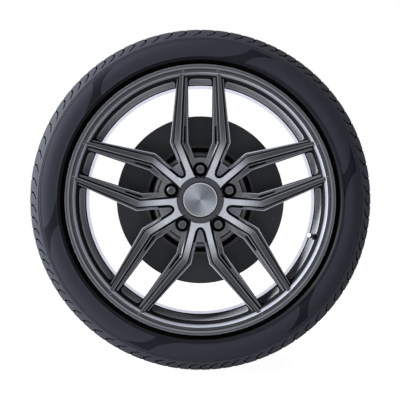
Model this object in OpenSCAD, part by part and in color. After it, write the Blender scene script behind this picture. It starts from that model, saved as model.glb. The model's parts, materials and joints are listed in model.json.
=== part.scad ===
// Road wheel corner: a low-profile tyre on a five double-spoke alloy rim,
// with its brake disc and the driven hub bearing that carries them.
// The wheel's centre is the origin and it spins about the Y axis.
// The outboard face, the side seen from the kerb, looks along -Y. Millimetres.

/* [Tyre] */
// Outer diameter of the tread
tyre_d = 726; // [710:1:740]
// Width over the sidewalls
tyre_w = 275; // [268:1:282]
// Depth of the tread grooves
tread_depth = 7.5; // [4:0.5:8]
// Width of the circumferential grooves
groove_w = 11; // [7:0.5:13]
// Distance of the inner pair of grooves from the middle
groove_in = 24; // [20:1:28]
// Distance of the outer pair of grooves from the middle
groove_out = 65; // [58:1:68]
// Thickness of the rubber under the tread
crown_t = 16; // [13:0.5:20]
// Thickness of the sidewall at its widest
side_t = 9; // [6:0.5:12]
// Number of shoulder slots round the tyre
slot_count = 84; // [60:1:90]
// Width of a shoulder slot at the tread edge
slot_w = 4.6; // [3:0.2:6]
// Width of the fine line that runs on from each slot
slot_line_w = 1.8; // [1:0.2:2.6]

/* [Rim] */
// Diameter of the bead seats
bead_d = 533.4; // [528:0.2:538]
// Width between the two flanges
rim_w = 241.3; // [237:0.1:245]
// Height of a flange over its bead seat
flange_h = 18.5; // [17:0.5:20]
// Thickness of a flange
flange_t = 12.4; // [10:0.2:14]
// Thickness of the barrel wall
barrel_t = 5.6; // [4.5:0.1:7]
// Gap between tyre and rim all round
bead_gap = 0.3; // [0.1:0.1:0.5]

/* [Wheel centre] */
// Distance from the rim's middle plane to the face that meets the disc
wheel_offset = 71; // [68:0.5:74]
// Thickness of the centre at the arms
centre_t = 31; // [27:0.5:34]
// Thickness of the recessed floor round the bolts
floor_t = 15; // [13:0.5:17]
// Radius of the recessed floor
floor_r = 93.5; // [91:0.5:96]
// Height of the arms' knee along the pair
knee_y = 122; // [119:0.5:125]
// Distance of the knee from the middle of the pair
knee_x = 48.9; // [47.5:0.1:50]
// Distance of the arm from the middle of the pair at the rim
arm_rim_x = 38.2; // [36.5:0.1:40]
// Depth of the arms at the knee
knee_t = 36; // [33:0.5:38]
// Diameter of the bolt circle
bolt_pcd = 130; // [128:0.5:132]
// Diameter of the bolt shanks
bolt_d = 14; // [12:0.5:14.5]
// Radius of the pocket round each bolt
pocket_r = 15.4; // [14:0.2:16]
// Diameter of the centring spigot on the hub
spigot_d = 71.5; // [69:0.1:72.5]
// Radius of the centre cap
cap_r = 36.6; // [35:0.1:37.4]
// Radius of the smooth ring round the cap
ring_r = 50.4; // [48:0.2:52]

/* [Valve] */
// Angle of the valve clockwise from the top
valve_angle = 108; // [100:1:116]
// Tilt of the valve from the radius towards the outboard face
valve_tilt = 50; // [46:1:54]
// Length of the valve from its seat
valve_len = 24; // [22:0.5:27]
// Radius of the valve stem
valve_r = 3.8; // [3.4:0.1:4.2]

/* [Brake disc] */
// Outer radius of the disc
disc_r = 182.5; // [176:0.5:186]
// Thickness of the disc over both friction rings
disc_t = 36; // [32:0.5:38]
// Thickness of one friction ring
ring_t = 11.5; // [10:0.5:13]
// Inner radius of the friction ring
disc_inner_r = 111.5; // [109:0.5:114]
// Outer radius of the disc's bell
bell_r = 101.3; // [99:0.1:103]
// Thickness of the bell
bell_t = 8; // [7:0.2:9]
// Depth of the friction face behind the bell's face
bell_h = 33; // [30:0.5:36]
// Number of cooling channels in the disc
vane_count = 40; // [32:1:44]

/* [Hub bearing] */
// Radius of the hub's wheel flange
hub_flange_r = 76; // [74:0.5:80]
// Thickness of the hub's wheel flange
hub_flange_t = 12; // [10:0.5:14]
// Radius of the circle through the ball centres
pitch_r = 37; // [36:0.1:38]
// Diameter of a ball
ball_d = 12.7; // [12:0.1:13]
// Number of balls in a row
ball_count = 14; // [12:1:15]
// Distance between the two rows of balls
row_gap = 30; // [28:0.5:34]
// Outer radius of the bearing's outer ring
outer_r = 51; // [50:0.2:53]
// Length of the bearing's outer ring
outer_len = 62; // [60:0.5:66]
// Thickness of the flange that bolts to the knuckle
knuckle_t = 12; // [10:0.5:14]
// Diameter of the circle of the knuckle bolts
knuckle_pcd = 126; // [124:0.5:132]
// Radius of the knuckle bolt holes
knuckle_hole_r = 6.2; // [5:0.1:7]
// Radius of the pilot that centres the bearing in the knuckle
pilot_r = 47; // [46:0.2:49]
// Root radius of the splines for the drive shaft
spline_r = 15; // [13:0.2:16.5]

/* [Hidden] */
$fn = 96;

tyre_r = tyre_d / 2;
half_w = rim_w / 2;
seat_r = bead_d / 2;
lip_r = seat_r + flange_h;
lip_z = half_w + flange_t;
face_z = wheel_offset + centre_t;
floor_z = wheel_offset + floor_t;
cap_top_z = face_z - 1;
cap_back_z = cap_top_z - 5;
pairs = 5;
pair_step = 360 / pairs;
bolt_circle_r = bolt_pcd / 2;
slip = 0.1;

// Stands the wheel up: z, the way out of the face, becomes -Y and y becomes up.
module on_axle() rotate([90, 0, 0]) children();
module round_pairs() for (i = [0 : pairs - 1]) rotate([0, 0, i * pair_step]) children();
// A body of revolution from a profile of [radius, distance along the axle].
module turned(profile) rotate_extrude($fn = 180) polygon(profile);
function mix(a, b, t) = a + (b - a) * t;
function arc(centre, r, from, to, steps) =
    [for (i = [0 : steps]) let (a = mix(from, to, i / steps)) centre + r * [cos(a), sin(a)]];
function flip(points) = [for (i = [len(points) - 1 : -1 : 0]) [points[i][0], -points[i][1]]];

// Tyre section: crown, shoulder arc, sidewall arc, rim protector and bead.
wall_h = tyre_r - lip_r;
crown_drop = 2.6;
tread_half = tyre_w / 2 - 29.5;
shoulder_r = 16;
side_r = 52;
side_rise = 0.67 * wall_h;
shoulder_c = [tyre_r - crown_drop - shoulder_r, tread_half - 0.5];
widest_z = tyre_w / 2;
side_c = [tyre_r - 0.604 * wall_h, widest_z - side_r];
join_a = atan2(shoulder_c[1] - side_c[1], shoulder_c[0] - side_c[0]);
function wall(share, z) = [lip_r + share * wall_h, z];
function crown(z) = [tyre_r - crown_drop * pow(z / tread_half, 2), z];
function tyre_outside() = concat(
    [for (i = [0 : 6]) crown(tread_half * i / 6)],
    arc(shoulder_c, shoulder_r, 12, join_a, 3),
    [for (p = arc([0, 0], 1, join_a + 6, 88, 6)) side_c + [side_rise * p[0], side_r * p[1]]],
    [
        wall(0.283, widest_z - 0.4), wall(0.231, widest_z), wall(0.188, widest_z - 1.2),
        wall(0.154, half_w + 11), wall(0.109, half_w + 5.6), wall(0.049, half_w + 2),
        wall(0.015, half_w - bead_gap), [seat_r + 6 + bead_gap, half_w - bead_gap],
        [seat_r + 0.6 + bead_gap, half_w - 5.5 - bead_gap],
        [seat_r - 1.2 + bead_gap, half_w - 20], [seat_r + 0.6 + bead_gap, half_w - 22]
    ]
);
function tyre_inside() = [
    [seat_r + 9, half_w - 18.5], [seat_r + 19, half_w - 8], wall(0.167, widest_z - side_t - 3),
    wall(0.396, widest_z - side_t), wall(0.614, widest_z - side_t - 8),
    wall(0.73, tread_half - 4), [tyre_r - crown_t - 1.5, tread_half * 0.75],
    [tyre_r - crown_t, 0]
];
function tyre_half() = concat(tyre_outside(), tyre_inside());
function slot_angle(i) = i * 360 / slot_count + 1.8 * sin(i * 360 * 5 / slot_count);

module groove_section(z) {
    top_w = groove_w / 2;
    low_w = groove_w / 2 - 1.6;
    low_r = tyre_r - tread_depth;
    polygon([[tyre_r + 2, z - top_w - 0.4], [low_r, z - low_w],
             [low_r, z + low_w], [tyre_r + 2, z + top_w + 0.4]]);
}

// One shoulder slot: a wide notch over the tread edge and a fine line down the shoulder.
module shoulder_slot() {
    notch_a = slot_w / tyre_r * 180 / PI;
    line_a = slot_line_w / tyre_r * 180 / PI;
    low = tyre_r - tread_depth + 1.5;
    rotate([0, 0, -notch_a / 2]) rotate_extrude(angle = notch_a)
        polygon([[tyre_r + 6, groove_out + groove_w], [low, groove_out + groove_w],
                 [low - 2, tread_half - 2], [tyre_r - 9, tread_half + 6],
                 [tyre_r - 7, tread_half + 18], [tyre_r + 6, tread_half + 18]]);
    rotate([0, 0, -line_a / 2]) rotate_extrude(angle = line_a)
        polygon([[tyre_r - 5, tread_half + 3], [tyre_r - 15, tread_half + 13],
                 [tyre_r - 20.5, tread_half + 19], [tyre_r - 17.5, tread_half + 24],
                 [tyre_r - 5, tread_half + 18]]);
}

module tyre() color([0.13, 0.13, 0.15]) on_axle() difference() {
    rotate_extrude($fn = 180) difference() {
        union() {
            polygon(tyre_half());
            polygon(flip(tyre_half()));
        }
        for (z = [-groove_out, -groove_in, groove_in, groove_out]) groove_section(z);
    }
    for (i = [0 : slot_count - 1]) rotate([0, 0, slot_angle(i)]) shoulder_slot();
    for (i = [0 : slot_count - 1]) rotate([0, 0, slot_angle(i) + 180 / slot_count])
        mirror([0, 0, 1]) shoulder_slot();
}

// Rim section, from the outboard lip to the inboard lip, on the tyre's side.
well_r = seat_r - 12;
function rim_outside() = [
    [lip_r, lip_z - 3], [lip_r, half_w + 4], [lip_r - 2.6, half_w + 0.6],
    [seat_r + 6, half_w], [seat_r + 0.3, half_w - 5.5], [seat_r - 1.6, half_w - 22],
    [seat_r - 0.2, half_w - 27], [seat_r - 0.2, half_w - 30], [seat_r - 5, half_w - 37],
    [well_r + 1, half_w - 56], [well_r, half_w - 64], [well_r, half_w - 84],
    [seat_r - 6, half_w - 112], [seat_r - 4, 36 - half_w],
    [seat_r - 0.2, 30 - half_w], [seat_r - 0.2, 27 - half_w], [seat_r - 1.6, 22 - half_w],
    [seat_r + 0.3, 5.5 - half_w], [seat_r + 6, -half_w], [lip_r - 2.6, -half_w - 0.6],
    [lip_r, -half_w - 4], [lip_r, 3 - lip_z], [lip_r - 2.6, -lip_z]
];
// The same on the axle's side: inboard lip, barrel, pocket wall, bright band, step and lip.
function rim_inside() = [
    [lip_r - 8, -lip_z], [seat_r - 2, 8 - lip_z], [seat_r - 8.1, 15 - lip_z],
    [seat_r - 9.6, 36 - half_w], [well_r + 0.4, half_w - 108],
    [well_r - barrel_t, half_w - 84], [well_r - barrel_t, half_w - 64],
    [seat_r - 9.2, half_w - 21.6], [seat_r - 6.9, half_w - 3],
    [seat_r - 4.9, lip_z - 9.6], [seat_r + 2, lip_z - 3.4], [seat_r + 3, lip_z - 5],
    [seat_r + 7.4, lip_z - 4.2], [seat_r + 8.6, lip_z - 0.6], [lip_r - 1.6, lip_z]
];
// Keeps the ends of the arms inside the rim's wall.
function arm_envelope() = [
    [0, 60], [0, lip_z + 10], [lip_r - 4, lip_z + 10], [lip_r - 4, half_w + 2],
    [seat_r - 3, half_w - 1.5], [seat_r - 5, half_w - 22], [seat_r - 9, half_w - 37],
    [well_r - barrel_t + 2.6, half_w - 56], [well_r - barrel_t + 2.6, 60]
];

// An arm has a rib, the machined face between two leaning walls, on a wider body whose edges
// bound the windows. The lower length leans out to the knee and the upper length rises to the
// lip. Each edge is a line through its own place at the knee.
arm_end_y = lip_r - 4.2;
arm_rise = lip_z - 1.6 - face_z;
arm_reach = arm_end_y - knee_y;
rise_a = atan2(arm_rise, arm_reach);
lean_in = 21;
lean_out = 10;
low_slope = 0.4;
rib_w = 12.8;
rib_rim_w = 7;
body_in = 16.7;
body_out = 9.5;
body_rim_in = 6.3;
body_rim_out = 4.8;
ledge_drop = 8;
rib_x = knee_x - rib_w / 2;
rib_rim_x = arm_rim_x - rib_rim_w / 2;
function low_line(x, y) = x - low_slope * (knee_y - y);

// All that lies beyond one wall: side 1 is away from the pair's middle, -1 towards it.
module beyond(x, slope, rise, lean, side) translate([x, knee_y, face_z]) rotate([rise, 0, 0])
    rotate([0, 0, -atan(slope)]) rotate([0, lean, 0])
        translate([side > 0 ? 0 : -200, -300, -150]) cube([200, 600, 300]);
module between_walls(x_in, x_out, slope_in, slope_out, in_a, out_a) intersection() {
    union() {
        beyond(x_in, low_slope, 0, in_a, 1);
        beyond(x_in, slope_in, rise_a, in_a, 1);
    }
    beyond(x_out, low_slope, 0, -out_a, -1);
    beyond(x_out, slope_out, rise_a, -out_a, -1);
}
module level_profile(points) rotate([90, 0, 90]) linear_extrude(110) polygon(points);
module rib() intersection() {
    level_profile([
        [44, floor_z], [44, face_z], [knee_y, face_z], [arm_end_y + 6, face_z + arm_rise + 1],
        [arm_end_y + 6, lip_z - 20], [knee_y, face_z - 14]
    ]);
    between_walls(rib_x, rib_x + rib_w, (rib_rim_x - rib_x) / arm_reach,
        (rib_rim_x + rib_rim_w - rib_x - rib_w) / arm_reach, lean_in, lean_out);
}
module arm_body() {
    x_in = rib_x - body_in;
    x_out = rib_x + rib_w + body_out;
    difference() {
        intersection() {
            level_profile([
                [50, wheel_offset + 1], [50, floor_z + 1.5], [86, floor_z + 3],
                [knee_y, face_z - ledge_drop], [arm_end_y + 6, lip_z - 2 - ledge_drop],
                [arm_end_y + 6, lip_z - 52], [knee_y + 12, face_z - knee_t],
                [knee_y - 14, wheel_offset + 1]
            ]);
            between_walls(x_in, x_out, (rib_rim_x - body_rim_in - x_in) / arm_reach,
                (rib_rim_x + rib_rim_w + body_rim_out - x_out) / arm_reach, 2, -2);
            // The outer ledge slopes down to the window.
            beyond(x_out + 9, low_slope, 0, -58, -1);
            beyond(x_out + 9, (rib_rim_x + rib_rim_w - rib_x - rib_w) / arm_reach, rise_a, -58, -1);
        }
        // The slot between the window's edge and the foot of the rib.
        translate([0, 0, face_z - ledge_drop - 15]) linear_extrude(40) polygon([
            [x_in + 5.4, knee_y - 3], [x_in + 8.2, knee_y - 3], [x_in + 9.4, knee_y + 3],
            [x_in + 8.8, knee_y + 35], [x_in + 5.2, knee_y + 35], [x_in + 5, knee_y + 3]
        ]);
        // The back is hollowed between two walls.
        translate([0, 0, face_z - 60]) linear_extrude(38) polygon([
            [x_in + 12, knee_y - 2], [x_out - 9, knee_y - 2],
            [rib_rim_x + rib_rim_w - 3, arm_end_y - 40], [rib_rim_x + 0.5, arm_end_y - 40]
        ]);
    }
}
module arms() round_pairs() {
    rib();
    arm_body();
}

// The hub of the wheel: a recessed floor, a raised centre that the arms grow out of
// and the smooth ring round the cap.
module recessed_floor() turned([
    [0, wheel_offset], [hub_flange_r, wheel_offset], [hub_flange_r + 2, wheel_offset + 3],
    [floor_r - 2, wheel_offset + 4], [floor_r, wheel_offset + 6], [floor_r, floor_z - 2],
    [floor_r - 2, floor_z], [0, floor_z]
]);
raised_r = 66.5;
module raised_centre() translate([0, 0, floor_z - 4]) linear_extrude(centre_t - floor_t + 4)
    difference() {
        circle(r = raised_r);
        round_pairs() bolt_bay();
        rotate(pair_step / 2) round_pairs() translate([0, raised_r + 1]) circle(r = web_r);
    }
// The bay between the arms of a pair, where a bolt sits.
module bolt_bay() {
    inner_y = 45.6;
    half_in = 7.6;
    outer_y = raised_r + 5;
    outer_x = low_line(rib_x, outer_y);
    polygon([
        [-half_in, inner_y], [half_in, inner_y], [half_in + 6.4, inner_y + 7.2],
        [outer_x, outer_y], [-outer_x, outer_y], [-half_in - 6.4, inner_y + 7.2]
    ]);
}
// Radius of the round inner end of the bay between two pairs.
web_r = 9.4;
module centre_recess() turned([
    [0, wheel_offset - 1], [spigot_d / 2 + 2.5, wheel_offset - 1],
    [spigot_d / 2 + slip, wheel_offset + 1.5], [spigot_d / 2 + slip, cap_back_z - slip],
    [cap_r + 0.6, cap_back_z - slip], [cap_r + 0.6, face_z - 2.4], [cap_r + 1.8, face_z - 2.2],
    [cap_r + 2.6, face_z - 1.2], [ring_r - 0.8, face_z - 1.4], [ring_r, face_z],
    [ring_r, face_z + 1], [0, face_z + 1]
]);
module bolt_hole() translate([0, bolt_circle_r, 0]) {
    translate([0, 0, wheel_offset - 1]) cylinder(h = 20, r = bolt_d / 2 + 0.4);
    translate([0, 0, wheel_offset + 3])
        cylinder(h = 4.01, r1 = bolt_d / 2 + 0.4, r2 = collar_r + slip);
    translate([0, 0, wheel_offset + 7]) cylinder(h = 14, r = pocket_r);
}

// Places its children on the valve's axis, which points in and outboard from the seat.
valve_seat = [seat_r - 9.7, half_w - 24.6];
module on_valve() rotate([0, 0, -valve_angle]) translate([0, valve_seat[0], valve_seat[1]])
    rotate([90 - valve_tilt, 0, 0]) children();

module alloy_wheel() color([0.5, 0.5, 0.52]) on_axle() difference() {
    union() {
        turned(concat(rim_outside(), rim_inside()));
        intersection() {
            turned(arm_envelope());
            union() {
                arms();
                mirror([1, 0, 0]) arms();
            }
        }
        recessed_floor();
        raised_centre();
    }
    centre_recess();
    round_pairs() bolt_hole();
    on_valve() translate([0, 0, -25]) cylinder(h = 40, r = valve_hole_r);
    on_valve() translate([0, 0, valve_seat_w]) cylinder(h = 14, r = grommet_r + 0.3);
}

// Centre cap: a shell with snap legs, a brushed plate and the ring that spreads the legs.
module centre_cap() color([0.62, 0.62, 0.64]) on_axle() {
    leg_r = spigot_d / 2 - 0.6;
    difference() {
        union() {
            turned([[0, cap_back_z], [cap_r, cap_back_z], [cap_r, cap_top_z - 1],
                    [cap_r - 0.8, cap_top_z], [cap_r - 2, cap_top_z],
                    [cap_r - 2.4, cap_top_z - 1.4], [0, cap_top_z - 1.4]]);
            translate([0, 0, cap_back_z - 7]) cylinder(h = 7.5, r = leg_r);
        }
        translate([0, 0, cap_back_z - 8]) cylinder(h = 8, r = leg_r - 2.4);
        for (a = [0 : 60 : 120]) rotate([0, 0, a])
            translate([-cap_r, -3, cap_back_z - 8]) cube([2 * cap_r, 6, 8]);
    }
}
module cap_plate() color([0.78, 0.78, 0.8]) on_axle() turned([
    [0, cap_top_z - 1.4], [cap_r - 2.6, cap_top_z - 1.4], [cap_r - 2.8, cap_top_z - 0.5],
    [cap_r - 9, cap_top_z - 0.1], [0, cap_top_z]
]);
module cap_spring_ring() color([0.7, 0.7, 0.7]) on_axle() translate([0, 0, cap_back_z - 5.5])
    rotate_extrude() translate([spigot_d / 2 - 4.2, 0]) circle(r = 1, $fn = 24);

// Wheel bolts with a domed head and a six-sided socket, on loose cone collars.
collar_r = 10.8;
collar_z = wheel_offset + 3.4;
head_z = wheel_offset + 13;
bolt_end_z = wheel_offset - bell_t - hub_flange_t - 2;
head_r = 8.8;
socket_r = 6.6;
module wheel_bolts() color([0.55, 0.55, 0.57]) on_axle() round_pairs()
    translate([0, bolt_circle_r, 0]) difference() {
        turned([
            [0, bolt_end_z], [bolt_d / 2 - 2, bolt_end_z], [bolt_d / 2 - slip, bolt_end_z + 2],
            [bolt_d / 2 - slip, head_z], [head_r, head_z], [head_r, head_z + 10.6],
            [head_r - 1.4, head_z + 12], [0, head_z + 12]
        ]);
        translate([0, 0, head_z + 4]) cylinder(h = 10, r = socket_r, $fn = 6);
    }
module bolt_collars() color([0.3, 0.3, 0.32]) on_axle() round_pairs()
    translate([0, bolt_circle_r, 0]) turned([
        [bolt_d / 2 + slip, collar_z], [bolt_d / 2 + 0.5, collar_z],
        [collar_r - 0.3, wheel_offset + 7], [collar_r, wheel_offset + 8],
        [collar_r, head_z - 1], [collar_r - 1, head_z], [bolt_d / 2 + slip, head_z]
    ]);

// Tyre valve, clamped through the rim with the pressure sensor on its foot.
valve_hole_r = 5.7;
grommet_r = 7;
valve_seat_w = 1.5;
nut_w = valve_seat_w + 3;
foot_w = -19;
foot_r = 6.4;
module valve_stem() color([0.5, 0.5, 0.5]) on_axle() on_valve() difference() {
    union() {
        translate([0, 0, foot_w]) cylinder(h = valve_len - 2 - foot_w, r = valve_r);
        translate([0, 0, foot_w]) cylinder(h = 3, r = foot_r);
    }
    translate([0, 0, valve_len - 12]) cylinder(h = 12, r = 2.2);
    translate([0, 0, foot_w - 1]) cylinder(h = 8, r = 1.7);
}
module valve_grommet() color([0.08, 0.08, 0.08]) on_axle() on_valve() difference() {
    union() {
        translate([0, 0, foot_w + 3 + slip])
            cylinder(h = nut_w - foot_w - 3 - slip, r = valve_hole_r - slip);
        translate([0, 0, valve_seat_w + slip]) cylinder(h = nut_w - valve_seat_w - slip, r = grommet_r);
    }
    translate([0, 0, foot_w]) cylinder(h = 40, r = valve_r + slip);
}
module valve_nut() color([0.1, 0.1, 0.1]) on_axle() on_valve() translate([0, 0, nut_w + slip])
    difference() {
        intersection() {
            cylinder(h = 6, r = 6.4, $fn = 6);
            cylinder(h = 6, r1 = 6.4, r2 = 5.8);
        }
        translate([0, 0, -1]) cylinder(h = 9, r = valve_r + slip);
    }
module valve_core() color([0.8, 0.7, 0.4]) on_axle() on_valve() {
    translate([0, 0, valve_len - 11.9]) cylinder(h = 9, r = 2.1);
    translate([0, 0, valve_len - 3]) cylinder(h = 1.6, r = 0.8);
}
module valve_cap() color([0.75, 0.75, 0.77]) on_axle() on_valve() difference() {
    union() {
        translate([0, 0, nut_w + 6.6]) cylinder(h = valve_len - nut_w - 7.6, r = valve_r + 1);
        translate([0, 0, valve_len - 1]) cylinder(h = 1, r1 = valve_r + 1, r2 = valve_r);
    }
    translate([0, 0, nut_w]) cylinder(h = valve_len - nut_w - 1.4, r = valve_r + slip);
}
module pressure_sensor() color([0.12, 0.12, 0.13]) on_axle() difference() {
    union() {
        rotate([0, 0, -valve_angle]) translate([-13, seat_r - 4, half_w - 68])
            cube([26, 13, 26]);
        on_valve() translate([0, 0, foot_w - 11]) cylinder(h = 11, r = foot_r);
    }
    on_valve() translate([0, 0, foot_w - slip]) cylinder(h = 30, r = foot_r + 0.5);
    on_valve() translate([0, 0, foot_w - 20]) cylinder(h = 30, r = 1.8);
    on_valve() translate([0, 0, foot_w - 40]) cylinder(h = 32, r = 3.4);
}
module sensor_screw() color([0.7, 0.7, 0.7]) on_axle() on_valve() {
    translate([0, 0, foot_w - 8.1]) cylinder(h = 13, r = 1.6);
    translate([0, 0, foot_w - 10.6]) cylinder(h = 2.6, r = 3.1);
}

// Brake disc: bell and two friction rings cast in one, with cooling channels between.
bell_z = wheel_offset;
disc_z = bell_z - bell_h;
disc_back_z = disc_z - disc_t;
module brake_disc() color([0.2, 0.2, 0.21]) on_axle() difference() {
    turned([
        [spigot_d / 2 + slip, bell_z - bell_t], [bell_r - bell_t - 3, bell_z - bell_t],
        [bell_r - bell_t, bell_z - bell_t - 3], [bell_r - bell_t, disc_back_z],
        [disc_r - 1, disc_back_z], [disc_r, disc_back_z + 1], [disc_r, disc_z - 1],
        [disc_r - 1, disc_z], [disc_inner_r + 1, disc_z], [disc_inner_r, disc_z - 1],
        [disc_inner_r, disc_back_z + ring_t - 2], [bell_r, disc_back_z + ring_t - 2],
        [bell_r, bell_z - 4.5], [bell_r - 1.4, bell_z - 1.4], [bell_r - 4.5, bell_z],
        [spigot_d / 2 + slip, bell_z]
    ]);
    round_pairs() translate([0, bolt_circle_r, bell_z - bell_t - 1])
        cylinder(h = bell_t + 2, r = bolt_d / 2 + 0.5);
    for (i = [0 : vane_count - 1]) rotate([0, 0, (i + 0.5) * 360 / vane_count]) cooling_channel();
    disc_screw_places() translate([0, 0, bell_z - bell_t - 1]) {
        cylinder(h = bell_t + 2, r = 3.4);
        translate([0, 0, bell_t - 2]) cylinder(h = 4, r1 = 3.4, r2 = 7.4);
    }
}
module cooling_channel() {
    vane_t = 6.5;
    near_r = disc_inner_r - 2;
    far_r = disc_r + 3;
    near_w = near_r * PI / vane_count - vane_t / 2;
    far_w = far_r * PI / vane_count - vane_t / 2;
    translate([0, 0, disc_back_z + ring_t]) linear_extrude(disc_t - 2 * ring_t)
        polygon([[-near_w, near_r], [near_w, near_r], [far_w, far_r], [-far_w, far_r]]);
}
module disc_screw_places() for (a = [pair_step / 2, pair_step * 3.5])
    rotate([0, 0, a]) translate([0, bolt_circle_r, 0]) children();
module disc_screws() color([0.6, 0.6, 0.6]) on_axle() disc_screw_places() difference() {
    union() {
        translate([0, 0, bell_z - bell_t - 9]) cylinder(h = bell_t + 7, r = 2.9);
        translate([0, 0, bell_z - 3.2]) cylinder(h = 2.8, r1 = 2.9, r2 = 5.6);
    }
    translate([0, 0, bell_z - 2.6]) cylinder(h = 3, r = 2.4, $fn = 6);
}

// Hub: spigot, wheel flange and the axle that the inboard race is pressed on.
flange_z = bell_z - bell_t;
flange_back_z = flange_z - hub_flange_t;
outer_z = flange_back_z - 5;
outer_back_z = outer_z - outer_len;
row_out_z = outer_z - 15;
row_in_z = row_out_z - row_gap;
race_in_r = pitch_r - 4.4;
race_out_r = pitch_r + 4.6;
nose_z = outer_back_z - 3;
axle_r = 25.5;
split_z = row_out_z - row_gap / 2;
groove_clear = 0.12;
module race_groove(z) translate([0, 0, z]) rotate_extrude($fn = 180)
    translate([pitch_r, 0]) circle(r = ball_d / 2 + groove_clear, $fn = 48);
module hub_flange() color([0.45, 0.45, 0.47]) on_axle() difference() {
    turned([
        [0, nose_z + 1], [axle_r - slip, nose_z + 1], [axle_r - slip, split_z],
        [race_in_r, split_z + 0.01], [race_in_r, outer_z + 1], [race_in_r + 3, flange_back_z],
        [hub_flange_r - 2, flange_back_z], [hub_flange_r, flange_back_z + 2],
        [hub_flange_r, flange_z - 1], [hub_flange_r - 1, flange_z],
        [spigot_d / 2, flange_z], [spigot_d / 2, flange_z + bell_t + 7],
        [spigot_d / 2 - 2, flange_z + bell_t + 9], [spigot_d / 2 - 7, flange_z + bell_t + 9],
        [spigot_d / 2 - 9, flange_z - 2], [spline_r + 6, flange_z - 10], [0, flange_z - 10]
    ]);
    translate([0, 0, nose_z]) linear_extrude(flange_z - nose_z) spline_hole();
    translate([0, 0, nose_z]) cylinder(h = 11, r = spline_r + 1.5);
    race_groove(row_out_z);
    round_pairs() translate([0, bolt_circle_r, flange_back_z - 1])
        cylinder(h = hub_flange_t + 2, r = bolt_d / 2);
    disc_screw_places() translate([0, 0, flange_back_z - 1]) cylinder(h = hub_flange_t + 2, r = 3);
}
module spline_hole() {
    circle(r = spline_r - 1.4);
    for (i = [0 : 27]) rotate(i * 360 / 28) polygon([
        [spline_r - 3, -0.85], [spline_r, -0.7], [spline_r, 0.7], [spline_r - 3, 0.85]
    ]);
}
module bearing_inner_ring() color([0.75, 0.76, 0.78]) on_axle() difference() {
    turned([
        [axle_r, nose_z + 1], [race_in_r - 1, nose_z + 1], [race_in_r, nose_z + 2],
        [race_in_r, split_z - 0.5], [axle_r, split_z - 0.5]
    ]);
    race_groove(row_in_z);
}

// Outer ring: two races, a bolting flange with four lobes and the pilot.
knuckle_z = outer_back_z + 16;
module bearing_outer_ring() color([0.5, 0.5, 0.52]) on_axle() difference() {
    union() {
        translate([0, 0, knuckle_z]) cylinder(h = outer_z - knuckle_z, r = outer_r);
        translate([0, 0, outer_back_z]) cylinder(h = knuckle_z - outer_back_z + 1, r = pilot_r);
        translate([0, 0, knuckle_z]) cylinder(h = knuckle_t, r = outer_r + 5);
        for (a = [45 : 90 : 315]) rotate([0, 0, a]) translate([0, knuckle_pcd / 2, knuckle_z])
            cylinder(h = knuckle_t, r = knuckle_hole_r + 5.8);
    }
    translate([0, 0, outer_back_z - 1]) cylinder(h = outer_len + 2, r = race_out_r);
    race_groove(row_out_z);
    race_groove(row_in_z);
    for (a = [45 : 90 : 315]) rotate([0, 0, a]) translate([0, knuckle_pcd / 2, knuckle_z - 1])
        cylinder(h = knuckle_t + 2, r = knuckle_hole_r);
}
module balls(z) for (i = [0 : ball_count - 1]) rotate([0, 0, i * 360 / ball_count])
    translate([0, pitch_r, z]) sphere(d = ball_d, $fn = 48);
module outboard_balls() color([0.85, 0.86, 0.88]) on_axle() balls(row_out_z);
module inboard_balls() color([0.85, 0.86, 0.88]) on_axle() balls(row_in_z);
module cage(z) difference() {
    turned([[pitch_r - 1.4, z - 7.6], [pitch_r + 1.4, z - 7.6],
            [pitch_r + 1.4, z + 7.6], [pitch_r - 1.4, z + 7.6]]);
    for (i = [0 : ball_count - 1]) rotate([0, 0, i * 360 / ball_count])
        translate([0, pitch_r - 5, z]) rotate([-90, 0, 0])
            cylinder(h = 10, r = ball_d / 2 + groove_clear);
}
module outboard_cage() color([0.75, 0.7, 0.55]) on_axle() cage(row_out_z);
module inboard_cage() color([0.75, 0.7, 0.55]) on_axle() cage(row_in_z);
module seal(z) turned([
    [race_in_r + 0.4, z - 1], [race_in_r + 1.4, z - 2], [race_out_r - slip, z - 2],
    [race_out_r - slip, z + 2], [race_out_r - 2, z + 2], [race_out_r - 2, z],
    [race_in_r + 0.4, z + 0.6]
]);
module outboard_seal() color([0.1, 0.1, 0.11]) on_axle() seal(outer_z - 2.4);
module inboard_seal() color([0.1, 0.1, 0.11]) on_axle() seal(outer_back_z + 5);
module speed_ring() color([0.25, 0.2, 0.18]) on_axle() turned([
    [race_in_r + slip, outer_back_z - 0.4], [race_out_r - 0.5, outer_back_z - 0.4],
    [race_out_r - 0.5, outer_back_z + 1.4], [race_in_r + 1.2, outer_back_z + 1.4],
    [race_in_r + 1.2, outer_back_z + 2.6], [race_in_r + slip, outer_back_z + 2.6]
]);

tyre();
alloy_wheel();
centre_cap();
cap_plate();
cap_spring_ring();
wheel_bolts();
bolt_collars();
valve_stem();
valve_grommet();
valve_nut();
valve_core();
valve_cap();
pressure_sensor();
sensor_screw();
brake_disc();
disc_screws();
hub_flange();
bearing_inner_ring();
bearing_outer_ring();
outboard_balls();
inboard_balls();
outboard_cage();
inboard_cage();
outboard_seal();
inboard_seal();
speed_ring();
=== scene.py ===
"""Dresses a packed car wheel: tyre, double-spoke alloy rim, brake disc and hub bearing.

Everything is in metres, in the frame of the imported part. The wheel spins about Y, its outboard
face looks along -Y and Z is up. Sizes repeat the part's own values.
"""

from __future__ import annotations

import json
import logging
import math
from collections.abc import Iterable
from dataclasses import dataclass
from enum import Enum

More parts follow.
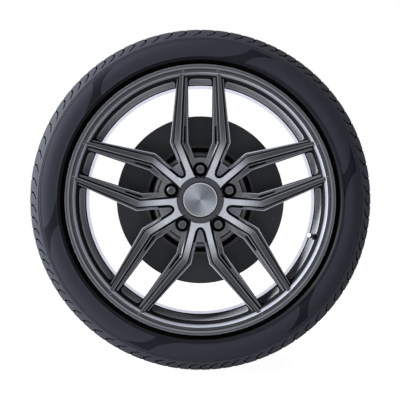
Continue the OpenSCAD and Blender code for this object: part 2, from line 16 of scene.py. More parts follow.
import bmesh
import bpy
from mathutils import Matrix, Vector

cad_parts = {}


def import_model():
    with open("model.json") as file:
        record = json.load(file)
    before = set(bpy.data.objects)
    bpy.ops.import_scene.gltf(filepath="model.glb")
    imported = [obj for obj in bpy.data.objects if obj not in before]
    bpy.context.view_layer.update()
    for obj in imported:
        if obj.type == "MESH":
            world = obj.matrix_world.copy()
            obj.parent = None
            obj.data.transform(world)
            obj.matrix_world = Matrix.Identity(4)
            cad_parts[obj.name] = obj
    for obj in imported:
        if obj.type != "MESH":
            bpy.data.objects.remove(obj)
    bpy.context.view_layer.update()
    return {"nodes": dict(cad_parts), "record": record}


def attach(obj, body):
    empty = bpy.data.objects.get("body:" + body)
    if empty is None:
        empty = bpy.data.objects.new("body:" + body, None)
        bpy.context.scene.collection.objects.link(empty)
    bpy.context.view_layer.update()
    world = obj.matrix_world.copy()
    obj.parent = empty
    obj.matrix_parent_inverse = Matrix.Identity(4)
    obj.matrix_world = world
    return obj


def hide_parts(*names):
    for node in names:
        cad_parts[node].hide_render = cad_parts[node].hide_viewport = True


LOG = logging.getLogger("wheel")
Colour = tuple[float, float, float, float]
WHEEL_BODY = "wheel"
PAIR_TURN = 2 * math.pi / 5  # from one pair of arms to the next


def grey(level: float, blue: float = 1.0) -> Colour:
    """Returns an opaque grey of a linear level, with its blue multiplied."""
    return (level, level * (1 + (blue - 1) * 0.3), level * blue, 1.0)


# Shader arithmetic


class Value:
    """A number that varies over a surface and takes part in ordinary arithmetic."""

    def __init__(self, shader: "Shader", socket: bpy.types.NodeSocket) -> None:
        """Wraps an output socket of a shader's node."""
        self.shader = shader
        self.socket = socket

    def _math(self, operation: str, *terms: "Value | float") -> "Value":
        """Adds one Math node.

        Args:
            operation: The Math node's operation.
            terms: Its inputs in order.

        Returns:
            The node's result.
        """
        node = self.shader.node("ShaderNodeMath", {"operation": operation}, dict(enumerate(terms)))
        return Value(self.shader, node.outputs[0])

    def __add__(self, other: "Value | float") -> "Value":
        """Returns the sum."""
        return self._math("ADD", self, other)

    __radd__ = __add__

    def __sub__(self, other: "Value | float") -> "Value":
        """Returns the difference."""
        return self._math("SUBTRACT", self, other)

    def __rsub__(self, other: float) -> "Value":
        """Returns a number less this value."""
        return self._math("SUBTRACT", other, self)

    def __mul__(self, other: "Value | float") -> "Value":
        """Returns the product."""
        return self._math("MULTIPLY", self, other)

    __rmul__ = __mul__

    def __truediv__(self, other: "Value | float") -> "Value":
        """Returns the quotient."""
        return self._math("DIVIDE", self, other)

    def __pow__(self, other: float) -> "Value":
        """Returns this value raised to a power."""
        return self._math("POWER", self, other)

    def absolute(self) -> "Value":
        """Returns the distance from nought."""
        return self._math("ABSOLUTE", self)

    def root(self) -> "Value":
        """Returns the square root."""
        return self._math("SQRT", self)

    def sine(self) -> "Value":
        """Returns the sine of an angle in radians."""
        return self._math("SINE", self)

    def least(self, other: "Value | float") -> "Value":
        """Returns the smaller of two values."""
        return self._math("MINIMUM", self, other)

    def most(self, other: "Value | float") -> "Value":
        """Returns the larger of two values."""
        return self._math("MAXIMUM", self, other)

    def near(self, other: "Value | float", reach: float) -> "Value":
        """Returns 1 where this value is close to another and 0 beyond the reach."""
        return 1 - (self - other).absolute().over(reach * 0.75, reach * 0.25)

    def wrapped(self, low: float, high: float) -> "Value":
        """Returns this value wrapped into a range."""
        return self._math("WRAP", self, high, low)

    def over(self, edge: float, soft: float) -> "Value":
        """Returns 1 well above an edge and 0 well below it.

        Args:
            edge: Where the result is a half.
            soft: Half the width of the change.

        Returns:
            A value between 0 and 1.
        """
        node = self.shader.node(
            "ShaderNodeMapRange",
            {"interpolation_type": "SMOOTHSTEP"},
            {0: self, 1: edge - soft, 2: edge + soft, 3: 0.0, 4: 1.0},
        )
        return Value(self.shader, node.outputs[0])

    def within(self, low: float, high: float, soft: float) -> "Value":
        """Returns 1 between two edges and 0 beyond them, each edge being soft."""
        return self.over(low, soft) * (1 - self.over(high, soft))

    def fade(self, low: float, high: float) -> "Value":
        """Returns a smooth rise from 0 at low to 1 at high."""
        return self.over((low + high) / 2, (high - low) / 2)


class Shader:
    """One material and the way its nodes are added."""

    def __init__(self, name: str) -> None:
        """Makes an empty node material."""
        self.material = bpy.data.materials.new(name)
        self.material.use_nodes = True
        self.tree = self.material.node_tree
        self.tree.nodes.clear()
        self._position: bpy.types.NodeSocket | None = None

    def node(
        self, kind: str, settings: dict[str, object], inputs: dict[int | str, object]
    ) -> bpy.types.Node:
        """Adds any node.

        Args:
            kind: The node's type.
            settings: Its own settings; "stops" is a list of (place, colour) for a ramp.
            inputs: Numbers, colours, Values or sockets by the input's index or name.

        Returns:
            The new node.
        """
        node = self.tree.nodes.new(kind)
        for name, setting in settings.items():
            if name == "stops":
                self._set_stops(node.color_ramp, setting)
            else:
                setattr(node, name, setting)
        for key, given in inputs.items():
            if isinstance(given, Value):
                given = given.socket
            if isinstance(given, bpy.types.NodeSocket):
                self.tree.links.new(given, node.inputs[key])
            else:
                node.inputs[key].default_value = given
        return node

    @staticmethod
    def _set_stops(ramp: bpy.types.ColorRamp, stops: list[tuple[float, Colour]]) -> None:
        """Gives a colour ramp its stops."""
        while len(ramp.elements) < len(stops):
            ramp.elements.new(1.0)
        for element, (place, colour) in zip(ramp.elements, stops):
            element.position = place
            element.color = colour

    def position(self) -> bpy.types.NodeSocket:
        """Returns the place on the piece, in metres."""
        if self._position is None:
            self._position = self.node("ShaderNodeTexCoord", {}, {}).outputs["Object"]
        return self._position

    def axes(self) -> tuple[Value, Value, Value]:
        """Returns the three coordinates of the place on the piece."""
        split = self.node("ShaderNodeSeparateXYZ", {}, {0: self.position()})
        return tuple(Value(self, split.outputs[i]) for i in range(3))

    def polar(self) -> tuple[Value, Value, Value]:
        """Returns the radius, the clockwise angle from the top and the depth behind the centre."""
        x, y, z = self.axes()
        turn = self.node("ShaderNodeMath", {"operation": "ARCTAN2"}, {0: x, 1: z})
        return (x * x + z * z).root(), Value(self, turn.outputs[0]), y

    def vector(self, *parts: Value | float) -> bpy.types.NodeSocket:
        """Returns a vector made of three numbers."""
        return self.node("ShaderNodeCombineXYZ", {}, dict(enumerate(parts))).outputs[0]

    def noise(
        self, scale: float, detail: float = 3.0, place: bpy.types.NodeSocket | None = None
    ) -> Value:
        """Returns a noise between 0 and 1.

        Args:
            scale: Cells to the metre.
            detail: Layers of finer noise.
            place: Where it is read; the place on the piece if left out.

        Returns:
            The noise's strength.
        """
        node = self.node(
            "ShaderNodeTexNoise",
            {},
            {"Vector": place or self.position(), "Scale": scale, "Detail": detail},
        )
        return Value(self, node.outputs["Fac"])

    def blend(
        self, share: Value, first: "Colour | bpy.types.NodeSocket",
        second: "Colour | bpy.types.NodeSocket",
    ) -> bpy.types.NodeSocket:
        """Returns a mix of two colours, the second's share being given."""
        node = self.node("ShaderNodeMix", {"data_type": "RGBA"}, {0: share, 6: first, 7: second})
        return node.outputs[2]

    def bump(self, height: Value, depth: float, strength: float = 1.0) -> bpy.types.NodeSocket:
        """Returns a normal that a height in 0 to 1 has roughened.

        Args:
            height: The height.
            depth: Metres between the heights 0 and 1.
            strength: How much of it shows.

        Returns:
            The normal.
        """
        node = self.node(
            "ShaderNodeBump", {}, {"Strength": strength, "Distance": depth, "Height": height}
        )
        return node.outputs["Normal"]

    def surface(self, **sockets: object) -> bpy.types.Material:
        """Ends the material in one Principled shader.

        Args:
            sockets: Inputs by name, with _ for a space.

        Returns:
            The material.
        """
        inputs = {key.replace("_", " "): given for key, given in sockets.items()}
        shader = self.node("ShaderNodeBsdfPrincipled", {}, inputs)
        self.node("ShaderNodeOutputMaterial", {}, {"Surface": shader.outputs[0]})
        return self.material


# Finishes


@dataclass(frozen=True)
class TyreRubber:
    """Black rubber: a matt tread, a sidewall band of smooth panels and darker sweeps, and painted
    shade on the rim protector's ridge and in the recess beside the rim.
    """

    panel: Colour = (0.0185, 0.0199, 0.0275, 1.0)
    sweep: Colour = (0.0060, 0.0068, 0.0100, 1.0)
    tread: Colour = (0.030, 0.031, 0.042, 1.0)
    # ridge and recess are painted shade: the gap between the tyre's bead and the rim, darker than
    # the panels.
    ridge_shade: Colour = (0.0048, 0.0053, 0.0074, 1.0)
    recess: Colour = (0.0015, 0.0015, 0.002, 1.0)
    band_low: float = 0.300
    band_high: float = 0.334
    sweeps: tuple[tuple[float, int], ...] = ((18.3, 1), (79.8, -1), (137.0, 1))

    def material(self) -> bpy.types.Material:
        """Returns the tyre's material."""
        shader = Shader("tyre_rubber")
        radius, turn, _ = shader.polar()
        height = (radius - self.band_low) / (self.band_high - self.band_low)
        dark = self._sweeps(height, turn * (180 / math.pi)) * height.within(0.0, 1.0, 0.03)
        mottle = shader.noise(45.0, 4.0)
        grain = shader.noise(2600.0, 2.0)
        side = shader.blend(dark, self.panel, self.sweep)
        tread = shader.blend(mottle, self.tread, grey(0.024, 1.3))
        # Painted shade: the rim protector's ridge darker than the panels, and the recess inside it
        # near black.
        side = shader.blend(radius.within(0.2952, 0.3008, 0.0012), side, self.ridge_shade)
        colour = shader.blend(radius.over(0.341, 0.002), side, tread)
        clear_of_shade = radius.over(0.2952, 0.0006)
        colour = shader.blend(clear_of_shade, self.recess, colour)
        hatch = (turn * 1440.0).sine() * 0.5 + 0.5
        height_map = grain * 0.35 + hatch * dark * 0.8 + mottle * 0.3
        rough = 0.42 + mottle * 0.12 + dark * 0.2 + radius.over(0.343, 0.002) * 0.14
        return shader.surface(
            Base_Color=colour,
            Roughness=rough,
            Specular_IOR_Level=0.05,
            Normal=shader.bump(height_map, 0.00025, 0.6),
        )

    def _sweeps(self, height: Value, degrees: Value) -> Value:
        """Returns the mask of the dark sweeps that part the sidewall's panels.

        Args:
            height: 0 at the band's inner edge and 1 at its outer edge.
            degrees: The clockwise angle from the top.

        Returns:
            1 inside a sweep and 0 outside.
        """
        mask: Value | None = None
        safe = height.wrapped(0.0, 1.0)
        low_tail = (1 - safe) ** 3.0 * 8.0
        high_tail = safe ** 3.0 * 7.0
        for middle, lean in self.sweeps:
            across = (degrees - middle).wrapped(-90.0, 90.0) * lean
            slant = (safe - 0.5) * 4.0
            left = across - slant + low_tail + 1.6
            right = across - slant - high_tail - 1.6
            band = left.over(0.0, 0.25) * (1 - right.over(0.0, 0.25))
            mask = band if mask is None else mask + band
        return mask


@dataclass(frozen=True)
class MetalPaint:
    """Paint with fine metal flakes over cast alloy."""

    name: str
    base: Colour
    rough: float = 0.34
    metal: float = 0.85
    coat: float = 0.25

    def material(self) -> bpy.types.Material:
        """Returns the paint's material."""
        shader = Shader(self.name)
        flakes = shader.noise(5200.0, 1.0)
        cloud = shader.noise(22.0, 3.0)
        dark = tuple(c * 0.82 for c in self.base[:3]) + (1.0,)
        return shader.surface(
            Base_Color=shader.blend(cloud.fade(0.35, 0.65), dark, self.base),
            Metallic=self.metal,
            Roughness=flakes * 0.1 + (self.rough - 0.05),
            Coat_Weight=self.coat,
            Coat_Roughness=0.12,
            Normal=shader.bump(flakes, 0.00002, 0.5),
        )


@dataclass(frozen=True)
class ArmPlan:
    """The lines that bound an arm, in a plan folded onto one half of one pair of arms.

    Each line is (distance from the pair's middle at the knee, slope beyond the knee).
    """

    knee: float = 0.122
    low_slope: float = 0.4
    window_in: tuple[float, float] = (0.0258, 0.01635)
    top_in: tuple[float, float] = (0.0425, -0.04906)
    top_out: tuple[float, float] = (0.0553, -0.08553)
    window_out: tuple[float, float] = (0.0648, -0.1151)
    notch_at: float = 0.0675
    notch_radius: float = 0.0097
    bolt_at: float = 0.065

    def folded(self, shader: Shader) -> tuple[Value, Value]:
        """Returns the distances from the pair's middle and along it."""
        radius, turn, _ = shader.polar()
        share = turn.wrapped(-PAIR_TURN / 2, PAIR_TURN / 2)
        return (radius * share.sine()).absolute(), radius * (share + math.pi / 2).sine()

    def line(self, along: Value, bound: tuple[float, float]) -> Value:
        """Returns a line's distance from the pair's middle.

        Args:
            along: The distance along the pair.
            bound: One of the plan's lines.

        Returns:
            The distance.
        """
        past = along - self.knee
        return past.least(0.0) * self.low_slope + past.most(0.0) * bound[1] + bound[0]

    def notch(self, shader: Shader) -> Value:
        """Returns how far a place lies from the machined top, into the bay between two pairs."""
        across, along = self.folded(shader)
        radius, turn, _ = shader.polar()
        share = PAIR_TURN / 2 - turn.wrapped(-PAIR_TURN / 2, PAIR_TURN / 2).absolute()
        side, out = radius * share.sine(), radius * (share + math.pi / 2).sine()
        short = (self.notch_at - out).most(0.0)
        round_end = self.notch_radius - (side * side + short * short).root()
        beside = (across - self.line(along, self.top_out)) * 0.93
        straight = out.over(self.notch_at, 0.002)
        return beside * straight + round_end * (1 - straight)

    def from_bolt(self, shader: Shader) -> Value:
        """Returns the distance from the nearest bolt's axis."""
        across, along = self.folded(shader)
        past = along - self.bolt_at
        return (across * across + past * past).root()


@dataclass(frozen=True)
class TurnedAlloy:
    """Bare alloy with fine rings left by a lathe, its colour changing with the radius; on the arms'
    tops that change is painted reflection and shade, with painted highlights on the edges.
    """

    name: str
    # stops: grey levels by radius; on the arms' tops they are a painted reflection, pale near the
    # hub and dark on the tilted segments beyond the knee.
    stops: tuple[tuple[float, float], ...]
    line_pitch: float = 0.0011
    rough: float = 0.3
    blue: float = 1.08
    # edges: the grey of the painted highlight along the arms' edges; nought leaves it out.
    edges: float = 0.0
    metal: float = 1.0

    def material(self) -> bpy.types.Material:
        """Returns the turned metal's material."""
        shader = Shader(self.name)
        radius, turn, _ = shader.polar()
        first, last = self.stops[0][0], self.stops[-1][0]
        ramp = shader.node(
            "ShaderNodeValToRGB",
            {
                "stops": [
                    ((place - first) / (last - first), grey(level, self.blue))
                    for place, level in self.stops
                ]
            },
            {0: (radius - first) / (last - first)},
        )
        lines = (radius * (2 * math.pi / self.line_pitch)).sine() * 0.5 + 0.5
        streaks = shader.noise(1.0, 2.0, shader.vector(radius * 1900.0, turn * 3.0, 0.0))
        worn = streaks.fade(0.3, 0.7) * 0.3
        tone = shader.blend(worn, ramp.outputs[0], grey(0.03, self.blue))
        # Painted highlight along the two edges of each arm's machined top.
        if self.edges:
            tone = shader.blend(self._edge_highlight_mask(shader) * 0.8, tone, grey(self.edges, self.blue))
        return shader.surface(
            Base_Color=tone,
            Metallic=self.metal,
            Roughness=streaks * 0.14 + (self.rough - 0.07),
            Normal=shader.bump(lines * 0.4 + streaks * 0.6, 0.00003, 0.7),
        )

    @staticmethod
    def _edge_highlight_mask(shader: Shader) -> Value:
        """Returns 1 along the two edges of an arm's machined top, where highlights are painted."""
        plan = ArmPlan()
        across, along = plan.folded(shader)
        inner = across.near(plan.line(along, plan.top_in) + 0.0006, 0.0012)
        outer = across.near(plan.line(along, plan.top_out) - 0.0006, 0.0012)
        return (inner + outer * 0.4).least(1.0) * along.over(0.120, 0.008)


@dataclass(frozen=True)
class ArmPaint:
    """Gunmetal paint on the arms' ledges and the floor, with painted highlights on its edges and
    painted shade beside the ribs, round the bolts and at the floor's edge.
    """

    ledge: Colour = grey(0.070, 1.15)
    floor: Colour = grey(0.140, 1.12)
    bay: Colour = grey(0.20, 1.22)
    painted_highlight: Colour = grey(0.36, 1.28)
    shade: Colour = grey(0.003, 1.15)
    floor_edge: float = 0.0925

    def material(self) -> bpy.types.Material:
        """Returns the paint of the arms."""
        shader = Shader("arm_paint")
        plan = ArmPlan()
        across, along = plan.folded(shader)
        radius, _, _ = shader.polar()
        cast = shader.noise(330.0, 4.0)
        upper = radius.over(self.floor_edge, 0.0008)
        floor = 1 - upper * along.fade(0.094, 0.114)
        past_top = across - plan.line(along, plan.top_out)
        beside = across.over(0.0, 0.0001) * past_top.over(0.0, 0.0003)
        tone = shader.blend(floor, self.ledge, shader.blend(beside, self.floor, self.bay))
        tone = shader.blend(cast.fade(0.3, 0.7) * 0.22, tone, self.shade)
        # Painted highlights on the arms' edges, the rib's foot, the fillets and round the bays.
        edge_highlights = self._edge_highlights(plan, across, along)
        painted_light = self._fillet_highlights(shader, plan) * (1 - upper) + edge_highlights * (1 - floor)
        tone = shader.blend(painted_light.least(1.0) * 0.85, tone, self.painted_highlight)
        # Painted shade: black beside the rib where its walls lie in shadow, round each bolt's
        # pocket and along the floor's edge.
        into = plan.notch(shader) + upper * 0.0030
        dark = beside * (1 - into.over(0.0060, 0.0009))
        dark = dark + across.near(plan.line(along, plan.top_in) - 0.0022, 0.0026)
        dark = dark + (1 - plan.from_bolt(shader).over(0.0157, 0.0006))
        clear = (plan.line(along, plan.window_in) - across).most(
            across - plan.line(along, plan.window_out)
        )
        dark = dark + radius.near(self.floor_edge, 0.0022) * clear.over(0.0, 0.0006)
        return shader.surface(
            Base_Color=shader.blend(dark.least(1.0), tone, self.shade),
            Metallic=0.9,
            Roughness=cast * 0.12 + 0.56,
            Normal=shader.bump(cast, 0.00005, 0.5),
        )

    @staticmethod
    def _edge_highlights(plan: ArmPlan, across: Value, along: Value) -> Value:
        """Returns the painted highlights on the edges of the arms and at the foot of the rib."""
        inner = across.near(plan.line(along, plan.window_in) + 0.0005, 0.0015)
        outer = across.near(plan.line(along, plan.window_out) - 0.0006, 0.0019)
        foot = across.near(plan.line(along, plan.top_in) - 0.0052, 0.0009)
        away = 1 - along.fade(0.15, 0.23) * 0.6
        return (inner * 0.55 + outer) * away + foot * (0.6 - along.over(0.118, 0.008) * 0.3)

    @staticmethod
    def _fillet_highlights(shader: Shader, plan: ArmPlan) -> Value:
        """Returns the painted highlights on the fillets where the arms meet the floor and round the
        bays.
        """
        across, along = plan.folded(shader)
        foot = across.near(plan.line(along, plan.top_in) - 0.0062, 0.0016)
        lip = plan.notch(shader).near(0.0072, 0.0010)
        return foot * along.over(0.074, 0.002) * 0.4 + lip * 0.35


@dataclass(frozen=True)
class PocketPaint:
    """Paint inside the rim beside the arms, with painted shade round its edge that turns down along
    each arm, and an optional painted highlight line.
    """

    name: str
    inside: Colour
    # The edge colour is painted shade beside the arms and at the belt's edge; line is a painted
    # highlight just inside it.
    border_shade: Colour
    width: float
    start: float
    slant: float
    line: Colour | None = None
    end: float | None = None
    corner: float = 0.011

    def material(self) -> bpy.types.Material:
        """Returns the paint of one belt of the rim's inside."""
        shader = Shader(self.name)
        plan = ArmPlan()
        across, along = plan.folded(shader)
        _, _, depth = shader.polar()
        gap = (plan.line(along, plan.window_in) - across).most(
            across - plan.line(along, plan.window_out)
        )
        sideways = (self.corner - gap).most(0.0)
        inboard = (self.corner - (depth + self.start) * self.slant).most(0.0)
        inwards = self.corner - (sideways * sideways + inboard * inboard).root()
        if self.end is not None:
            inwards = inwards.least((-self.end - depth) * self.slant)
        cloud = shader.noise(60.0, 3.0)
        # Painted shade near the arms and the belt's edge, then a painted highlight line.
        tone = shader.blend(inwards.over(self.width, 0.0008), self.border_shade, self.inside)
        if self.line:
            tone = shader.blend(inwards.near(self.width + 0.0016, 0.0016) * 0.8, tone, self.line)
        return shader.surface(
            Base_Color=tone, Roughness=cloud * 0.1 + 0.5, Specular_IOR_Level=0.0,
            Normal=shader.bump(cloud, 0.00002, 0.4),
        )


@dataclass(frozen=True)
class BrushedPlate:
    """A spun metal plate with a painted sheen: pale and dark wedges running out from the middle."""

    pale: Colour = grey(0.34, 1.25)
    dark: Colour = grey(0.10, 1.25)

    def material(self) -> bpy.types.Material:
        """Returns the cap plate's material."""
        shader = Shader("spun_plate")
        radius, turn, _ = shader.polar()
        # Painted sheen: two pale and two dark wedges fixed round the middle.
        painted_sheen = ((turn * 2 + math.pi).sine() * 0.5 + 0.5) ** 1.4
        fine = shader.noise(1.0, 2.0, shader.vector(radius * 2600.0, turn * 2.0, 0.0))
        rim = radius.over(0.0338, 0.0002)
        share = painted_sheen * 0.75 + fine * 0.3
        colour = shader.blend(share, self.dark, self.pale)
        return shader.surface(
            Base_Color=shader.blend(rim, colour, grey(0.75, 1.04)),
            Metallic=1.0,
            Roughness=0.22 + fine * 0.12,
            Normal=shader.bump(fine, 0.00002, 0.6),
        )


@dataclass(frozen=True)
class PlainFinish:
    """A mottled metal, plastic or rubber for the smaller pieces."""

    name: str
    base: Colour
    metal: float
    rough: float
    grain: float = 900.0
    depth: float = 0.00004
    worn: float = 0.25
    shine: float = 0.4

    def material(self) -> bpy.types.Material:
        """Returns the finish's material."""
        shader = Shader(self.name)
        grain = shader.noise(self.grain, 3.0)
        cloud = shader.noise(60.0, 3.0)
        dark = tuple(c * (1 - self.worn) for c in self.base[:3]) + (1.0,)
        return shader.surface(
            Base_Color=shader.blend(cloud.fade(0.3, 0.7), dark, self.base),
            Metallic=self.metal,
            Roughness=grain * 0.16 + (self.rough - 0.08),
            Specular_IOR_Level=self.shine,
            Normal=shader.bump(grain, self.depth, 0.6),
        )


@dataclass(frozen=True)
class DiscIron:
    """Cast iron: dark friction rings with fine turned lines, a rougher, greyer bell and a groove
    painted near black as its shade.
    """

    friction: Colour = (0.040, 0.043, 0.050, 1.0)
    inner_edge: Colour = (0.075, 0.078, 0.084, 1.0)
    bell: Colour = (0.15, 0.152, 0.163, 1.0)
    groove_shade: Colour = (0.0008, 0.0008, 0.001, 1.0)
    friction_inner: float = 0.1138
    groove_inner: float = 0.1055

    def material(self) -> bpy.types.Material:
        """Returns the disc's material."""
        shader = Shader("disc_iron")
        radius, turn, depth = shader.polar()
        on_ring = radius.over(self.friction_inner, 0.0005)
        fine = shader.noise(1.0, 3.0, shader.vector(radius * 900.0, turn * 1.2, 0.0))
        cast = shader.noise(420.0, 4.0)
        colour = shader.blend(on_ring, self.bell, self.friction)
        tone = shader.blend(fine.fade(0.4, 0.8) * 0.4, colour, grey(0.055, 1.10))
        tone = shader.blend(
            radius.within(self.friction_inner, self.friction_inner + 0.006, 0.0012) * 0.7, tone,
            self.inner_edge,
        )
        # Painted shade: the groove between the bell and the friction ring, near black on the
        # outboard face.
        shaded_groove = radius.within(self.groove_inner, self.friction_inner, 0.0006)
        return shader.surface(
            Base_Color=shader.blend(shaded_groove * (1 - depth.over(0.0, 0.002)), tone, self.groove_shade),
            Metallic=0.35,
            Roughness=0.5 + cast * 0.15,
            Specular_IOR_Level=0.2,
            Normal=shader.bump(fine * on_ring + cast * (1 - on_ring), 0.00008, 0.6),
        )


@dataclass(frozen=True)
class BoltSteel:
    """Dark plated bolts whose heads have a paler rim round a darker recess."""

    body: Colour = grey(0.020, 1.1)
    rim: Colour = grey(0.20, 1.12)
    recess: Colour = grey(0.085, 1.12)
    head: float = 0.0086
    inner: float = 0.0067

    def material(self) -> bpy.types.Material:
        """Returns the bolts' material."""
        shader = Shader("bolt_steel")
        away = ArmPlan().from_bolt(shader)
        grain = shader.noise(900.0, 3.0)
        tone = shader.blend(away.over(self.inner, 0.0006), self.recess, self.rim)
        tone = shader.blend(away.over(self.head, 0.0004), tone, self.body)
        return shader.surface(
            Base_Color=shader.blend(grain.fade(0.4, 0.8) * 0.25, tone, self.body),
            Metallic=0.9,
            Roughness=grain * 0.16 + 0.28,
            Normal=shader.bump(grain, 0.00004, 0.6),
        )


# Mesh helpers


def spun(profile: list[tuple[float, float]], steps: int) -> bmesh.types.BMesh:
    """Spins a closed profile about the axle.

    Args:
        profile: (radius, distance outboard of the centre) in metres, in order.
        steps: Segments round the circle.

    Returns:
        The mesh, with each vertex's place in the profile kept in the layer "ring".
    """
    mesh = bmesh.new()
    ring = mesh.verts.layers.int.new("ring")
    loop = []
    for index, (radius, out) in enumerate(profile):
        vert = mesh.verts.new((0.0, -out, radius))
        vert[ring] = index
        loop.append(vert)
    edges = [mesh.edges.new((a, b)) for a, b in zip(loop, loop[1:] + loop[:1])]
    bmesh.ops.spin(
        mesh, geom=loop + edges, cent=(0, 0, 0), axis=(0, 1, 0), dvec=(0, 0, 0),
        angle=2 * math.pi, steps=steps, use_merge=True, use_duplicate=False,
    )
    return mesh


def piece_from(
    mesh: bmesh.types.BMesh, name: str, materials: Iterable[bpy.types.Material],
    sharp_degrees: float, body: str, replaces: str | None = None,
) -> bpy.types.Object:
    """Ends a mesh as a piece of the wheel.

    Args:
        mesh: The finished mesh, which is freed.
        name: The piece's name.
        materials: Its materials, in the order of the faces' indices.
        sharp_degrees: Edges that turn more than this stay sharp.
        body: The body that the piece rides on.
        replaces: The node that it stands for, if any.

    Returns:
        The piece's object.
    """
    bmesh.ops.recalc_face_normals(mesh, faces=mesh.faces)
    data = bpy.data.meshes.new(name)
    mesh.to_mesh(data)
    mesh.free()
    for material in materials:
        data.materials.append(material)
    data.shade_smooth()
    data.set_sharp_from_angle(angle=math.radians(sharp_degrees))
    piece = bpy.data.objects.new(name, data)
    bpy.context.scene.collection.objects.link(piece)
    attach(piece, body)
    if replaces:
        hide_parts(replaces)
    LOG.info("%s: %d faces", name, len(data.polygons))
    return piece


def dress(node: bpy.types.Object, material: bpy.types.Material) -> None:
    """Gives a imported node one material."""
    node.data.materials.clear()
    node.data.materials.append(material)
    LOG.info("%s: dressed with %s", node.name, material.name)


# The tyre


@dataclass
class Tyre:
    """The tyre: grooved crown, shoulders with hooked slots, sidewalls, beads and lining."""

    radius: float = 0.363
    tread_half: float = 0.108
    crown_drop: float = 0.0026
    groove_depth: float = 0.0075
    groove_half: float = 0.0055
    grooves: tuple[float, ...] = (0.024, 0.065)
    pitches: int = 84
    columns: int = 6
    slot_inner: float = 0.0775
    slot_depth: float = 0.0055
    shoulder_out: float = 0.1095
    hook_start: float = 0.3545
    hook_end: float = 0.3451

    def build(self, rubber: Iterable[bpy.types.Material]) -> bpy.types.Object:
        """Makes the tyre in place of its node.

        Args:
            rubber: The rubber outside, then that inside the slots, painted near black as their
                shade.

        Returns:
            The tyre's object.
        """
        half = self._half_profile()
        mirrored = [(r, -z) for r, z in reversed(half)]
        mesh = spun(half[:-1] + mirrored[:-1], self.pitches * self.columns)
        self._shape_slots(mesh)
        return piece_from(mesh, "tyre_with_slots", rubber, 35.0, WHEEL_BODY, "tyre")

    def _crown(self, out: float) -> float:
        """Returns the tread's radius at a distance from the middle."""
        return self.radius - self.crown_drop * (out / self.tread_half) ** 2

    def _half_profile(self) -> list[tuple[float, float]]:
        """Returns the section of the outboard half, from the crown to the lining's middle."""
        points: list[tuple[float, float]] = [(self._crown(0.0), 0.0), (self._crown(0.008), 0.008)]
        for middle in self.grooves:
            low = self.radius - self.groove_depth
            for step in (-1, 1):
                edge = middle + step * self.groove_half
                crown = self._crown(edge)
                rim = [(crown - 0.0008, edge), (crown, edge + step * 0.0009)]
                foot = [(low + 0.001, edge - step * 0.0012), (low, edge - step * 0.002)]
                points += rim[::-1] + foot if step < 0 else foot[::-1] + rim
            points.append((self._crown(middle + 0.02), middle + 0.02))
        points += [(self._crown(z), z) for z in (0.092, 0.099, 0.105)]
        points += self._arc((0.3444, 0.1075), 0.016, (8, 18, 28, 37))
        points += self._arc((0.316, 0.0855), 0.052, (44, 47, 50, 53, 56, 59))
        rib = 0.0007
        for angle, lift in ((61, 0), (61.8, rib), (63, rib), (63.8, 0), (65, 0), (65.8, rib),
                            (67, rib), (67.8, 0)):
            points += self._arc((0.316, 0.0855), 0.052 + lift, (angle,))
        points += self._arc((0.316, 0.0855), 0.052, (72, 76, 80, 84, 88))
        points += [
            (0.3125, 0.1372), (0.3060, 0.1372), (0.3020, 0.1364), (0.3012, 0.1366),
            (0.3006, 0.1374), (0.2998, 0.1372), (0.2975, 0.1356), (0.2946, 0.1336),
            (0.2937, 0.1312), (0.2920, 0.1262), (0.2890, 0.1226), (0.2864, 0.12035),
            (0.2730, 0.12035), (0.2676, 0.1149), (0.2658, 0.1007), (0.2676, 0.0987),
            (0.2757, 0.1022), (0.2857, 0.1126), (0.2982, 0.1255), (0.3160, 0.1285),
            (0.3330, 0.1205), (0.3420, 0.1040), (0.3455, 0.0810), (0.3470, 0.0),
        ]
        return points

    @staticmethod
    def _arc(
        middle: tuple[float, float], radius: float, degrees: Iterable[float]
    ) -> list[tuple[float, float]]:
        """Returns points on a circle in the section, by their angles from the radius outwards."""
        turns = [math.radians(a) for a in degrees]
        return [
            (middle[0] + radius * math.cos(a), middle[1] + radius * math.sin(a)) for a in turns
        ]

    def _slot_turn(self, pitch: int) -> float:
        """Returns the clockwise angle of a slot, the pitches varying in five waves."""
        return math.radians(
            pitch * 360 / self.pitches + 1.8 * math.sin(math.radians(pitch * 1800 / self.pitches))
        )

    def _slot_form(self, radius: float, out: float) -> tuple[float, float, float]:
        """Gives a slot's form at a place on the section.

        Args:
            radius: Distance from the axle.
            out: Distance from the tyre's middle.

        Returns:
            The slot's width, its shift round the tyre in radians and its depth.
        """
        if out < self.shoulder_out:
            share = max(0.0, (out - self.slot_inner) / (self.shoulder_out - self.slot_inner))
            depth = self.slot_depth if out < 0.098 else 0.0007
            return 0.0036 + 0.0012 * share, math.radians(-0.5 * (1 - share)), depth
        share = (self.hook_start - radius) / (self.hook_start - self.hook_end)
        share = min(1.0, max(0.0, share))
        bend = max(0.0, (share - 0.2) / 0.8) ** 1.4
        return 0.0034 + 0.0028 * share, math.radians(-2.5 * bend), 0.0032 - 0.0016 * share

    def _shape_slots(self, mesh: bmesh.types.BMesh) -> None:
        """Moves the columns to the slots' edges and sinks the slots' faces."""
        ring = mesh.verts.layers.int["ring"]
        total = self.pitches * self.columns
        places: dict[bmesh.types.BMVert, tuple[int, int]] = {}
        for vert in mesh.verts:
            turn = math.atan2(vert.co.x, vert.co.z) % (2 * math.pi)
            column = round(turn / (2 * math.pi) * total) % total
            places[vert] = (column, vert[ring])
            self._place(vert, column)
        self._sink(mesh, places)

